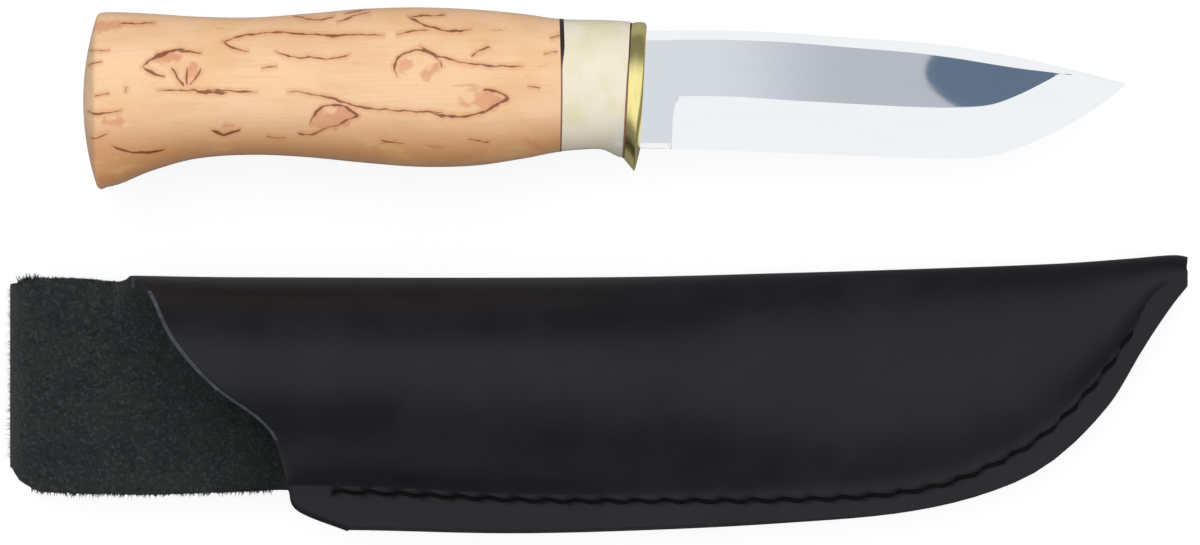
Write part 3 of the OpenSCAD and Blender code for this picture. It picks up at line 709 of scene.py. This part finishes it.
cured_glue, draw = new_material("cured_glue")
bubbles = noise(places(draw), 900, 3, 0.5)
glue_colour = draw.colour(paint(206, 180, 112)).mix(draw.colour(paint(178, 146, 84)), bubbles.rise(0.4, 0.7))
link_surface(cured_glue.node_tree, shader(draw, glue_colour, 0.12 + bubbles.rise(0.4, 0.7, 0.2)))
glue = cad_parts["tang_glue"]
glue.data.materials.clear()
glue.data.materials.append(cured_glue)

# ---- Sheath leather ----
# One blank of black vegetable-tanned leather, folded over the knife's back and wet-moulded to it.
# Its back panel runs on past the mouth as a strap, flesh side up, turned under as a belt loop.

LEATHER_T, WELT_T, LOOP_GAP, FLAP_RISE, RISE_LEN = 2.2, 2.2, 4.6, 1.3, 18.0
SHEATH_LEN, SHEATH_H, STRAP_LEN = 224.0, 47.8, 23.4
STRAP_Z, FLAP_Z = LEATHER_T * 1.5 + LOOP_GAP, LEATHER_T / 2
LOOP_R = (STRAP_Z - FLAP_Z) / 2
LOOP_X = LOOP_R + LEATHER_T / 2 - 0.4
FLAP_END = STRAP_LEN + 40
HALF_SEAM = (LEATHER_T + WELT_T) / 2
# Shares of the way from the mouth to the tip, then millimetres or a share of the sheath's height
FOLD_Y = [[0, 0.3], [0.1, 0.0], [0.45, 0.0], [0.62, 0.8], [0.75, 1.6], [0.88, 2.6], [0.95, 3.6],
          [0.975, 4.05], [0.992, 4.2], [1, 3.9]]
HEM_Y = [[0, 0.993], [0.2, 0.989], [0.36, 1.003], [0.5, 0.988], [0.62, 0.967], [0.73, 0.930], [0.81, 0.855],
         [0.87, 0.735], [0.925, 0.510], [0.96, 0.270], [0.985, 0.115], [1, 0.036]]
STITCH_IN = [[0, 6.9], [0.25, 6.4], [0.5, 4.7], [0.75, 3.5], [0.85, 5.6], [0.93, 7.2], [1, 5.6]]
SEAM_Z = [[0, 13.0], [0.12, 11.6], [0.2, 10.8], [0.32, 10.0], [0.55, 8.4], [0.8, 6.0], [1, 4.8]]
SWELL_FRONT = [[0, 20.5], [0.2, 21.3], [0.42, 18], [0.56, 11], [0.7, 6.8], [0.85, 4.8], [0.93, 2.8], [1, 0]]
SWELL_BACK = [[0, 8], [0.2, 8.4], [0.3, 8.6], [0.42, 7.8], [0.56, 5.2], [0.7, 3.8], [0.85, 3.2],
              [0.93, 2.2], [1, 0]]
MOUTH = [[0, 0.6], [0.045, 3.7], [0.24, 9.4], [0.41, 17.0], [0.52, 24.2], [0.60, 27.6], [0.725, 29.2],
         [0.86, 30.4], [0.92, 31.8], [1, 41.2]]
STRAP_TOP = [[0, 1.2], [2, 0.6], [5, 0.2], [10, 0.1], [18, 0.7], [23, 1.1]]
STRAP_LOW = [[0, 36.4], [1, 38.4], [3, 40.2], [6, 41.0], [23, 41.4], [40, 41.0], [53.0, 40.6], [54.1, 41.2],
             [55.2, 43.6], [64.6, 47.4]]
SEAM_SOFTNESS, CREST = 0.42, 0.85   # how gently the pocket meets the seam; its bulge where highest
NOSE, SIDE = 14, 17             # steps round the pocket, and from the fold to the hem
HEM_FROM = STRAP_LEN + MOUTH[-1][1]
SEAM_FROM, SEAM_TO = HEM_FROM - 2.7, SHEATH_LEN - 9.5
MOUTH_FOOT = STRAP_LEN + 30     # near the low end of the mouth's line, where fold and hem are taken
STITCH_PITCH, THREAD_D = 5.6, 0.9
GROOVE_DEPTH, HOLE_DEPTH = 0.28, 1.2
HOLE_LONG, HOLE_WIDE = 0.8, 0.75

LAY_GAP = 16.4                  # from the grip's lowest corner to the fold
sheath_at = Vector((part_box("sheath_leather")[0].x / MM, knife_box[1][0].y / MM - LAY_GAP, 0))


def on_sheath(x, y, z):
    """A place measured in millimetres from the belt loop's end, the fold and the table."""
    return (sheath_at + Vector((x, y, z))) * MM


def way(x):
    return (x - STRAP_LEN) / (SHEATH_LEN - STRAP_LEN)


def fold_y(x):
    return along(FOLD_Y, way(x)) - LEATHER_T / 2


def hem_y(x):
    return -SHEATH_H * along(HEM_Y, way(x))


def stitch_y(x):
    return hem_y(x) + along(STITCH_IN, way(x)) * min(1, (fold_y(x) - hem_y(x)) / 14)


def pocket_y(x):
    return min(fold_y(x) - 0.8, stitch_y(x) + 1.2)


def seam_z(x):
    return along(SEAM_Z, way(x))


stitch_holes = [SEAM_FROM]
while stitch_holes[-1] < SEAM_TO:
    x = stitch_holes[-1]
    stitch_holes.append(x + STITCH_PITCH / hypot(1, stitch_y(x + 0.5) - stitch_y(x - 0.5)))
stitch_holes.pop()


def pressed(x, y):
    """How far the thread's groove and the awl's slanted holes sink the leather."""
    if not SEAM_FROM - 2 < x < SEAM_TO + 2:
        return 0.0
    across = y - stitch_y(x)
    if abs(across) > 2:
        return 0.0
    sewn = ease(SEAM_FROM - 1.5, SEAM_FROM, x)
    groove = GROOVE_DEPTH * exp(-(across / HOLE_WIDE) ** 2) * sewn * (1 - ease(SEAM_TO, SEAM_TO + 1, x))
    nearest = min(stitch_holes, key=lambda hole: abs(hole - x))
    off = x - nearest - 0.35 * across
    return groove + HOLE_DEPTH * exp(-(off / HOLE_LONG) ** 2 - ((across - 0.1) / HOLE_WIDE) ** 2)


def skin_yz(x, w):
    """Middle of the leather round the sheath: w is 0 at the front hem, SIDE at the fold."""
    front, d = w <= SIDE, abs(w - SIDE)
    a = pi * min(d, NOSE) / NOSE
    low = hem_y(x) if front or x >= HEM_FROM else -along(STRAP_LOW, x)
    sewn = ease(STRAP_LEN + 27, STRAP_LEN + 36, x)
    inner = pocket_y(x) if front else lerp(low + 0.01, pocket_y(x), sewn)
    if d <= NOSE:
        y = lerp(fold_y(x), inner, (1 - cos(a)) / 2)
    else:
        y = lerp(inner, low, (d - NOSE) / (SIDE - NOSE))
    bulge = sin(a) * max(0, (1 + cos(a)) / 2) ** 0.3
    soft = SEAM_SOFTNESS * ease(pi / 2, pi, a)
    softened = (hypot(bulge, soft) - soft) * CREST / (hypot(CREST, soft) - soft)
    pouch = HALF_SEAM * sin(a / 2) + along(SWELL_FRONT if front else SWELL_BACK, way(x)) * softened
    if front:
        return y, seam_z(x) + pouch - pressed(x, y)
    floor_z = lerp(STRAP_Z, LEATHER_T * 1.5 + 0.9, ease(STRAP_LEN + 12, STRAP_LEN + 35, x))
    drop = seam_z(x) - floor_z
    settled = ease(pi * 11 / 18, pi, a)
    plain = drop * sin(min(pi / 2, 1.5 * a)) * (1 - settled) + settled * lerp(drop, HALF_SEAM, sewn)
    flat = 1 - ease(STRAP_LEN + 38, STRAP_LEN + 70, x)
    return y, seam_z(x) - lerp(pouch, plain, flat) + pressed(x, y)


NOSE_COLUMNS, HEM_COLUMNS, POUCH_ROWS = 36, 18, 330
side_steps = ([NOSE * i / NOSE_COLUMNS for i in range(NOSE_COLUMNS)]
              + [NOSE + (SIDE - NOSE) * i / HEM_COLUMNS for i in range(HEM_COLUMNS + 1)])
columns = [SIDE - d for d in reversed(side_steps)] + [SIDE + d for d in side_steps[1:]]


def lip(y):
    """Where along the sheath the mouth's S-shaped edge lies, by its place between fold and hem."""
    top, low = fold_y(MOUTH_FOOT), hem_y(MOUTH_FOOT)
    return STRAP_LEN + along(MOUTH, clamp((top - y) / (top - low)))


starts = [STRAP_LEN if w >= SIDE else lip(skin_yz(MOUTH_FOOT, w)[0]) for w in columns]


def pouch_place(row, column):
    """The pouch from its mouth to the tip; the front's edge at the mouth is pressed down a little."""
    x = lerp(SHEATH_LEN, starts[column], (1 - row / POUCH_ROWS) ** 0.92)
    y, z = skin_yz(x, columns[column])
    return on_sheath(x, y, z - 0.25 if row == 0 and columns[column] < SIDE else z)


RUN, BEND, BACK_RUN = 26, 22, 48


def strap_place(row, column):
    """The strap from the mouth to the loop's end, round it, and back to where it is sewn."""
    x, z = lerp(STRAP_LEN, LOOP_X, min(1, row / RUN)), STRAP_Z
    taper = 0.0
    if RUN < row <= RUN + BEND:
        a = pi * (row - RUN) / BEND
        x, z = LOOP_X - LOOP_R * sin(a), FLAP_Z + LOOP_R * (1 + cos(a))
    elif row > RUN + BEND:
        x = lerp(LOOP_X, FLAP_END, (row - RUN - BEND) / BACK_RUN)
        z = FLAP_Z + FLAP_RISE * ease(0, RISE_LEN * 0.7, x - FLAP_END + RISE_LEN)
        taper = 1.6 * ease(LOOP_X, FLAP_END, x)
    edge_x = x - LEATHER_T / 2 if row <= RUN + BEND else LOOP_X - LOOP_R
    top, low = -along(STRAP_TOP, edge_x) - taper, -along(STRAP_LOW, edge_x) + taper
    step = columns[column + len(side_steps) - 1]
    ripple = 0.1 * (1 + 0.5 * sin(x * 1.9 + 0.6) + 0.6 * sin(x * 4.3) + 0.5 * sin(x * 7.7))
    mouth_point = skin_yz(STRAP_LEN, step)
    y = lerp(top - ripple, low + ripple, (step - SIDE) / SIDE)
    from_mouth = ease(0, 5, row)
    return on_sheath(x, lerp(mouth_point[0], y, from_mouth), lerp(mouth_point[1], z, from_mouth))


bm = bmesh.new()
for rows, across, place_point in ((POUCH_ROWS, len(columns) - 1, pouch_place),
                                  (RUN + BEND + BACK_RUN, len(side_steps) - 1, strap_place)):
    laid = bmesh.ops.create_grid(bm, x_segments=rows, y_segments=across, size=0.5)["verts"]
    for v in laid:
        v.co = place_point(round((v.co.x + 0.5) * rows), round((v.co.y + 0.5) * across))
bmesh.ops.remove_doubles(bm, verts=bm.verts, dist=4e-6)
for face in bm.faces:           # the front panel's edge along the mouth gets a painted highlight, a lighter strip
    middle = face.calc_center_median()
    x, y = middle.x / MM - sheath_at.x, middle.y / MM - sheath_at.y
    highlight_width = 0.45 if x < STRAP_LEN + 26 else 0.2
    in_front = middle.z / MM > seam_z(x) + 0.4
    if in_front and STRAP_LEN < x < STRAP_LEN + 31 and x - lip(y) < highlight_width:
        face.material_index = 3
# Each point keeps how deep the thread's groove and the awl holes sink it; the leather's material turns that
# into painted shade.
pit_shade_depth = bm.verts.layers.float.new("pit_shade_depth")
for v in bm.verts:
    x, y = v.co.x / MM - sheath_at.x, v.co.y / MM - sheath_at.y
    v[pit_shade_depth] = pressed(x, y) if x > STRAP_LEN + 20 else 0.0

black_grain, draw = new_material("black_grain_leather")
place = places(draw)
hide = noise(place, 60, 4, 0.55)
pebble = place.node("TexVoronoi", {"feature": "SMOOTH_F1"},
                    {"Vector": place, "Scale": 1500.0, "Smoothness": 0.6})
wrinkle = noise(place, 900, 5, 0.6, (1, 1.6, 1))
scuffs = noise(place, 240, 3, 0.6, (0.25, 1, 1), (0.3, 0.7, 0))
painted_pit_shade = draw.node("Attribute", {"attribute_name": "pit_shade_depth"}, {}, "Fac")
hide_colour = draw.colour(paint(21, 21, 26)).mix(draw.colour(paint(27, 27, 34)), hide.rise(0.38, 0.66))
hide_colour = hide_colour.mix(draw.colour(paint(40, 40, 46)), scuffs.rise(0.64, 0.8, 0.3))
# Painted shade: the groove and awl holes go darker, then black, and are made rougher and metallic so that no
# sheen shows in them.
hide_colour = hide_colour.mix(draw.colour(paint(12, 12, 14)), painted_pit_shade.rise(0.05, 0.3, 0.7))
hide_colour = hide_colour.mix(draw.colour(paint(1, 1, 1)), painted_pit_shade.rise(0.28, 0.5))
hide_rough = 0.4 + hide.rise(0.35, 0.7, 0.08) + scuffs.rise(0.6, 0.8, 0.1) + painted_pit_shade.rise(0.1, 0.4, 0.5)
hide_height = pebble * 0.5 + wrinkle * 0.5
link_surface(black_grain.node_tree, shader(draw, hide_colour, hide_rough, hide_height, 0.00003,
                                           Specular_IOR_Level=0.28, Metallic=painted_pit_shade.rise(0.3, 0.6)))

black_suede, draw = new_material("black_suede")
place = places(draw)
nap = noise(place, 1500, 6, 0.75)
tufts = noise(place, 800, 5, 0.75, (0.6, 1, 1))
blotches = noise(place, 130, 4, 0.6, (1, 1, 1), (0.6, 0.2, 0))
suede_colour = draw.colour(paint(34, 38, 40)).mix(draw.colour(paint(46, 48, 47)),
                                                  blotches.rise(0.36, 0.68, 0.6))
suede_colour = suede_colour.mix(draw.colour(paint(16, 18, 20)), tufts.rise(0.5, 0.64, 0.6))
suede_colour = suede_colour.mix(draw.colour(paint(80, 85, 87)), nap.rise(0.5, 0.66, 0.6))
link_surface(black_suede.node_tree, shader(draw, suede_colour, 0.9 + nap.rise(0.4, 0.6, 0.08),
                                           nap + tufts * 1.4, 0.00045, Specular_IOR_Level=0.15,
                                           Sheen_Weight=0.12))

cut_edge, draw = new_material("burnished_edge")
place = places(draw)
fibre_run = noise(place, 900, 5, 0.7, (0.3, 0.3, 2.0))
edge_colour = draw.colour(paint(38, 41, 43)).mix(draw.colour(paint(66, 70, 72)),
                                                 fibre_run.rise(0.45, 0.75, 0.7))
link_surface(cut_edge.node_tree, shader(draw, edge_colour, 0.6 + fibre_run.rise(0.4, 0.7, 0.2), fibre_run,
                                        0.00006, Specular_IOR_Level=0.3))

# Painted highlight: a lighter grey for the strip along the mouth's rounded edge, standing in for the light
# that edge catches.
mouth_highlight, draw = new_material("painted_mouth_highlight")
highlight_mottle = noise(places(draw), 700, 4, 0.6)
mouth_highlight_colour = draw.colour(paint(56, 60, 66)).mix(draw.colour(paint(88, 92, 96)), highlight_mottle.rise(0.4, 0.7, 0.7))
link_surface(mouth_highlight.node_tree, shader(draw, mouth_highlight_colour, 0.45 + highlight_mottle.rise(0.4, 0.7, 0.2), highlight_mottle,
                                          0.00003, Specular_IOR_Level=0.3))

leather = finish_piece(bm, "folded_leather", "sheath", ["sheath_leather"],
                       [black_grain, black_suede, cut_edge, mouth_highlight], crease=180)
pouch_front = on_sheath(120, -22, 18)
front_face = min(leather.data.polygons, key=lambda face: (face.center - pouch_front).length)
if front_face.normal.z < 0:
    leather.data.flip_normals()
wall = leather.modifiers.new("hide_thickness", "SOLIDIFY")
wall.thickness, wall.offset, wall.use_quality_normals = LEATHER_T * MM, 0, True
wall.material_offset, wall.material_offset_rim = 1, 2
round_off = leather.modifiers.new("edge_rounding", "BEVEL")
round_off.limit_method, round_off.angle_limit = "ANGLE", radians(50)
round_off.width, round_off.segments, round_off.profile = 0.00035, 2, 0.5

# ---- Welt ----
# A strip of the same leather, laid between the two hems so that the edge can't cut the stitches.
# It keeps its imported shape; only its dyed cut edge shows between the panels.

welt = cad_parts["sheath_welt"]
welt.data.materials.clear()
welt.data.materials.append(cut_edge)

# ---- Thread ----
# Black waxed two-ply thread. It is saddle-stitched through front, welt and back, so each side
# shows one short stitch from hole to hole, and a last row holds the strap's end.

waxed_thread, draw = new_material("waxed_thread")
place = places(draw)
strands = noise(place, 2600, 4, 0.6, (1, 1, 1))
thread_colour = draw.colour(paint(10, 10, 13)).mix(draw.colour(paint(30, 30, 34)),
                                                   strands.rise(0.5, 0.75, 0.6))
link_surface(waxed_thread.node_tree, shader(draw, thread_colour, 0.7 + strands.rise(0.4, 0.7, 0.2), strands,
                                            0.00002, Specular_IOR_Level=0.12))

STITCH_ROWS, STITCH_SIDES = 14, 10
LOOP_HEM, LOOP_SEAM_IN = 6, 3   # from the strap's edges and from its end to the row that holds it


def add_stitch(bm, start, end, out):
    """One stitch between two holes: it leans, lies on the leather and dives in at both ends."""
    run_to = end - start
    sideways = out.cross(run_to).normalized()

    def point(row, share):
        s = row / STITCH_ROWS
        rise = 0.06 - 1.1 * abs(2 * s - 1) ** 3
        middle = start + run_to * s + out * rise + sideways * 0.26 * sin(2 * pi * s)
        turn = 2 * pi * share
        thick = THREAD_D * 0.36 * (1 + 0.12 * cos(2 * turn - 3 * pi * s))
        thick *= 0 if row in (0, STITCH_ROWS) else 1
        return on_sheath(*(middle + sideways * thick * cos(turn) + out * thick * sin(turn)))
    wrapped(STITCH_ROWS, STITCH_SIDES, point, bm)


for name, node, face_up in (("front_stitches", "seam_thread_front", 1),
                            ("back_stitches", "seam_thread_back", -1)):
    bm = bmesh.new()
    for a, b in zip(stitch_holes, stitch_holes[1:]):
        ends = [Vector((x, stitch_y(x), seam_z(x) + face_up * (HALF_SEAM + LEATHER_T / 2 - 0.1)))
                for x in (a, b)]
        add_stitch(bm, *ends, Vector((0, 0, face_up)))
    finish_piece(bm, name, "sheath", [node], [waxed_thread], crease=60)

bm = bmesh.new()
loop_stitches = floor((along(STRAP_LOW, 0) - 2 * LOOP_HEM) / STITCH_PITCH)
for i in range(loop_stitches):
    ends = [Vector((FLAP_END - LOOP_SEAM_IN, -LOOP_HEM - k * STITCH_PITCH, FLAP_Z + FLAP_RISE - LEATHER_T / 2))
            for k in (i, i + 1)]
    add_stitch(bm, *ends, Vector((0, 0, -1)))
finish_piece(bm, "loop_stitches", "sheath", ["loop_thread"], [waxed_thread], crease=60)

# ---- Loose fibres ----
# The strap's cut edges and the hem's corner are left raw, so short leather fibres stand out of them.
# Each is a fine tapering hair that curls; the longest tuft is at the strap's upper corner.

EDGE_FIBRES, CORNER_FIBRES = 1500, 16
HEM_CORNER = 67.5               # where the hem's straight run begins
FIBRE_ROWS, FIBRE_SIDES = 4, 3
fibre_draw = Random(11)


def add_fibre(bm, root, out, length, thick=0.15):
    """One hair from its root: it points outwards, leans, and curls towards its fine end."""
    lean = Vector((fibre_draw.uniform(-0.7, 0.7), fibre_draw.uniform(-0.4, 0.4),
                   fibre_draw.uniform(-0.5, 0.4)))
    curl = Vector((fibre_draw.uniform(-0.6, 0.6), 0, fibre_draw.uniform(-0.5, 0.3))) * length * 0.5

    def point(row, share):
        s = row / FIBRE_ROWS
        middle = root + (out + lean) * length * s + curl * s * s
        r = thick * (1 - s)
        return on_sheath(middle.x + r * cos(2 * pi * share), middle.y, middle.z + r * sin(2 * pi * share))
    wrapped(FIBRE_ROWS, FIBRE_SIDES, point, bm)


bm = bmesh.new()
for i in range(EDGE_FIBRES):
    x = fibre_draw.uniform(1.5, STRAP_LEN)
    z = STRAP_Z + fibre_draw.uniform(-0.4, 1.0)
    if i % 3 == 0:
        reach = 0.4 + 1.0 * exp(-((x - 3) / 3.0) ** 2)
        add_fibre(bm, Vector((x, -along(STRAP_TOP, x - 1.1) - 0.3, z)), Vector((0, 1, 0)),
                  fibre_draw.uniform(0.4, 1.3) * reach)
    elif i % 3 == 1:
        y = fibre_draw.uniform(-34.5, -2.0)
        add_fibre(bm, Vector((-0.3, y, FLAP_Z + LOOP_R + fibre_draw.uniform(-2, 2.4))), Vector((-1, 0, 0)),
                  fibre_draw.uniform(0.3, 0.95))
    else:
        x = fibre_draw.uniform(4, 50)
        z = seam_z(x) if x > STRAP_LEN + 30 else STRAP_Z
        root = Vector((x, -along(STRAP_LOW, x - 1.1) + 0.25, min(z, STRAP_Z) + fibre_draw.uniform(-0.6, 0.8)))
        add_fibre(bm, root, Vector((0, -1, 0)), fibre_draw.uniform(0.3, 1.0))
for i in range(CORNER_FIBRES):
    root = Vector((HEM_CORNER + fibre_draw.uniform(-1.2, 1.2), hem_y(HEM_CORNER) + 0.2,
                   seam_z(HEM_CORNER) + fibre_draw.uniform(-2, 2)))
    add_fibre(bm, root, Vector((0, -1, 0)), fibre_draw.uniform(0.4, 0.9), 0.07)
finish_piece(bm, "leather_fibres", "sheath", [], [black_suede], crease=180)
